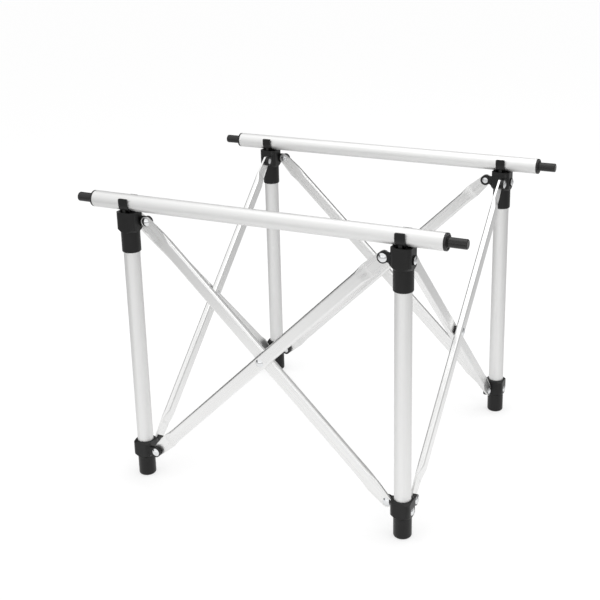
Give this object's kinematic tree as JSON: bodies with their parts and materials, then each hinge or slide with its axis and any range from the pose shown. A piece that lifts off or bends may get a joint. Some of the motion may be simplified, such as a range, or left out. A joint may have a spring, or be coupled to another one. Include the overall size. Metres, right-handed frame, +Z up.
{
  "type": "folding table frame",
  "caption": "Folding trestle frame for a roll-up camping table: telescopic tube legs, scissor braces on riveted brackets, and lift-off top rails with end pins.",
  "frame": {"origin": "middle of the floor plan, on the floor", "axes": "+X along the rails, +Y from the front rail to the back rail, +Z up"},
  "size_m": [0.551, 0.4192, 0.412],
  "materials": {
    "anodised_aluminium": "satin anodised",
    "black_plastic": "fine satin",
    "plated_rivet": "bright plated"
  },
  "bodies": {
    "front_left_leg": {"leg_tube_front_left": "anodised_aluminium", "top_sleeve_front_left": "black_plastic", "lower_bracket_front_left": "black_plastic", "foot_cap_front_left": "black_plastic", "leg_rivets_front_left": "plated_rivet"},
    "front_left_head": {"upper_bracket_front_left": "black_plastic", "inner_tube_front_left": "anodised_aluminium", "guide_bush_front_left": "black_plastic", "head_rivets_front_left": "plated_rivet"},
    "front_right_leg": {"leg_tube_front_right": "anodised_aluminium", "top_sleeve_front_right": "black_plastic", "lower_bracket_front_right": "black_plastic", "foot_cap_front_right": "black_plastic", "leg_rivets_front_right": "plated_rivet"},
    "front_right_head": {"upper_bracket_front_right": "black_plastic", "inner_tube_front_right": "anodised_aluminium", "guide_bush_front_right": "black_plastic", "head_rivets_front_right": "plated_rivet"},
    "back_right_leg": {"leg_tube_back_right": "anodised_aluminium", "top_sleeve_back_right": "black_plastic", "lower_bracket_back_right": "black_plastic", "foot_cap_back_right": "black_plastic", "leg_rivets_back_right": "plated_rivet"},
    "back_right_head": {"upper_bracket_back_right": "black_plastic", "inner_tube_back_right": "anodised_aluminium", "guide_bush_back_right": "black_plastic", "head_rivets_back_right": "plated_rivet"},
    "back_left_leg": {"leg_tube_back_left": "anodised_aluminium", "top_sleeve_back_left": "black_plastic", "lower_bracket_back_left": "black_plastic", "foot_cap_back_left": "black_plastic", "leg_rivets_back_left": "plated_rivet"},
    "back_left_head": {"upper_bracket_back_left": "black_plastic", "inner_tube_back_left": "anodised_aluminium", "guide_bush_back_left": "black_plastic", "head_rivets_back_left": "plated_rivet"},
    "front_outer_brace": {"outer_brace_front": "anodised_aluminium", "cross_rivet_front": "plated_rivet", "cross_spacer_front": "black_plastic"},
    "front_inner_brace": {"inner_brace_front": "anodised_aluminium"},
    "right_outer_brace": {"outer_brace_right": "anodised_aluminium", "cross_rivet_right": "plated_rivet", "cross_spacer_right": "black_plastic"},
    "right_inner_brace": {"inner_brace_right": "anodised_aluminium"},
    "back_outer_brace": {"outer_brace_back": "anodised_aluminium", "cross_rivet_back": "plated_rivet", "cross_spacer_back": "black_plastic"},
    "back_inner_brace": {"inner_brace_back": "anodised_aluminium"},
    "left_outer_brace": {"outer_brace_left": "anodised_aluminium", "cross_rivet_left": "plated_rivet", "cross_spacer_left": "black_plastic"},
    "left_inner_brace": {"inner_brace_left": "anodised_aluminium"},
    "front_rail": {"rail_tube_front": "anodised_aluminium", "rail_plug_front_left": "black_plastic", "rail_plug_front_right": "black_plastic"},
    "back_rail": {"rail_tube_back": "anodised_aluminium", "rail_plug_back_left": "black_plastic", "rail_plug_back_right": "black_plastic"}
  },
  "joints": [
    {"name": "frame_fold", "type": "hinge", "parent": "front_left_leg", "child": "front_outer_brace", "pos_m": [-0.173, -0.196, 0.041], "axis": [0, -1, 0], "range_deg": [0, 44.5]},
    {"name": "front_cross", "type": "hinge", "parent": "front_outer_brace", "child": "front_inner_brace", "pos_m": [0, -0.196, 0.208], "axis": [0, -1, 0], "range_deg": [-89, 0]},
    {"name": "front_right_leg_pivot", "type": "hinge", "parent": "front_inner_brace", "child": "front_right_leg", "pos_m": [0.173, -0.196, 0.041], "axis": [0, -1, 0], "range_deg": [0, 44.5]},
    {"name": "front_right_head_pivot", "type": "hinge", "parent": "front_outer_brace", "child": "front_right_head", "pos_m": [0.173, -0.196, 0.375], "axis": [0, -1, 0], "range_deg": [-44.5, 0]},
    {"name": "front_left_head_pivot", "type": "hinge", "parent": "front_inner_brace", "child": "front_left_head", "pos_m": [-0.173, -0.196, 0.375], "axis": [0, -1, 0], "range_deg": [0, 44.5]},
    {"name": "left_inner_brace_pivot", "type": "hinge", "parent": "front_left_leg", "child": "left_inner_brace", "pos_m": [-0.196, -0.173, 0.041], "axis": [-1, 0, 0], "range_deg": [-44.5, 0]},
    {"name": "left_cross", "type": "hinge", "parent": "left_inner_brace", "child": "left_outer_brace", "pos_m": [-0.196, 0, 0.208], "axis": [-1, 0, 0], "range_deg": [0, 89]},
    {"name": "back_left_leg_pivot", "type": "hinge", "parent": "left_outer_brace", "child": "back_left_leg", "pos_m": [-0.196, 0.173, 0.041], "axis": [-1, 0, 0], "range_deg": [-44.5, 0]},
    {"name": "back_left_head_pivot", "type": "hinge", "parent": "left_inner_brace", "child": "back_left_head", "pos_m": [-0.196, 0.173, 0.375], "axis": [-1, 0, 0], "range_deg": [0, 44.5]},
    {"name": "right_outer_brace_pivot", "type": "hinge", "parent": "front_right_leg", "child": "right_outer_brace", "pos_m": [0.196, -0.173, 0.041], "axis": [1, 0, 0], "range_deg": [0, 44.5]},
    {"name": "right_cross", "type": "hinge", "parent": "right_outer_brace", "child": "right_inner_brace", "pos_m": [0.196, 0, 0.208], "axis": [1, 0, 0], "range_deg": [-89, 0]},
    {"name": "back_right_leg_pivot", "type": "hinge", "parent": "right_inner_brace", "child": "back_right_leg", "pos_m": [0.196, 0.173, 0.041], "axis": [1, 0, 0], "range_deg": [0, 44.5]},
    {"name": "back_right_head_pivot", "type": "hinge", "parent": "right_outer_brace", "child": "back_right_head", "pos_m": [0.196, 0.173, 0.375], "axis": [1, 0, 0], "range_deg": [-44.5, 0]},
    {"name": "back_inner_brace_pivot", "type": "hinge", "parent": "back_left_leg", "child": "back_inner_brace", "pos_m": [-0.173, 0.196, 0.041], "axis": [0, 1, 0], "range_deg": [-44.5, 0]},
    {"name": "back_cross", "type": "hinge", "parent": "back_inner_brace", "child": "back_outer_brace", "pos_m": [0, 0.196, 0.208], "axis": [0, 1, 0], "range_deg": [0, 89]},
    {"name": "front_rail_lift", "type": "slide", "parent": "front_left_head", "child": "front_rail", "axis": [0, 0, 1], "range_m": [0, 0.06]},
    {"name": "back_rail_lift", "type": "slide", "parent": "back_left_head", "child": "back_rail", "axis": [0, 0, 1], "range_m": [0, 0.06]}
  ],
  "couplings": [
    {"joint": "front_cross", "follows": "frame_fold", "ratio": -2},
    {"joint": "front_right_leg_pivot", "follows": "frame_fold", "ratio": 1},
    {"joint": "front_right_head_pivot", "follows": "frame_fold", "ratio": -1},
    {"joint": "front_left_head_pivot", "follows": "frame_fold", "ratio": 1},
    {"joint": "left_inner_brace_pivot", "follows": "frame_fold", "ratio": -1},
    {"joint": "left_cross", "follows": "frame_fold", "ratio": 2},
    {"joint": "back_left_leg_pivot", "follows": "frame_fold", "ratio": -1},
    {"joint": "back_left_head_pivot", "follows": "frame_fold", "ratio": 1},
    {"joint": "right_outer_brace_pivot", "follows": "frame_fold", "ratio": 1},
    {"joint": "right_cross", "follows": "frame_fold", "ratio": -2},
    {"joint": "back_right_leg_pivot", "follows": "frame_fold", "ratio": 1},
    {"joint": "back_right_head_pivot", "follows": "frame_fold", "ratio": -1},
    {"joint": "back_inner_brace_pivot", "follows": "frame_fold", "ratio": -1},
    {"joint": "back_cross", "follows": "frame_fold", "ratio": 2}
  ]
}
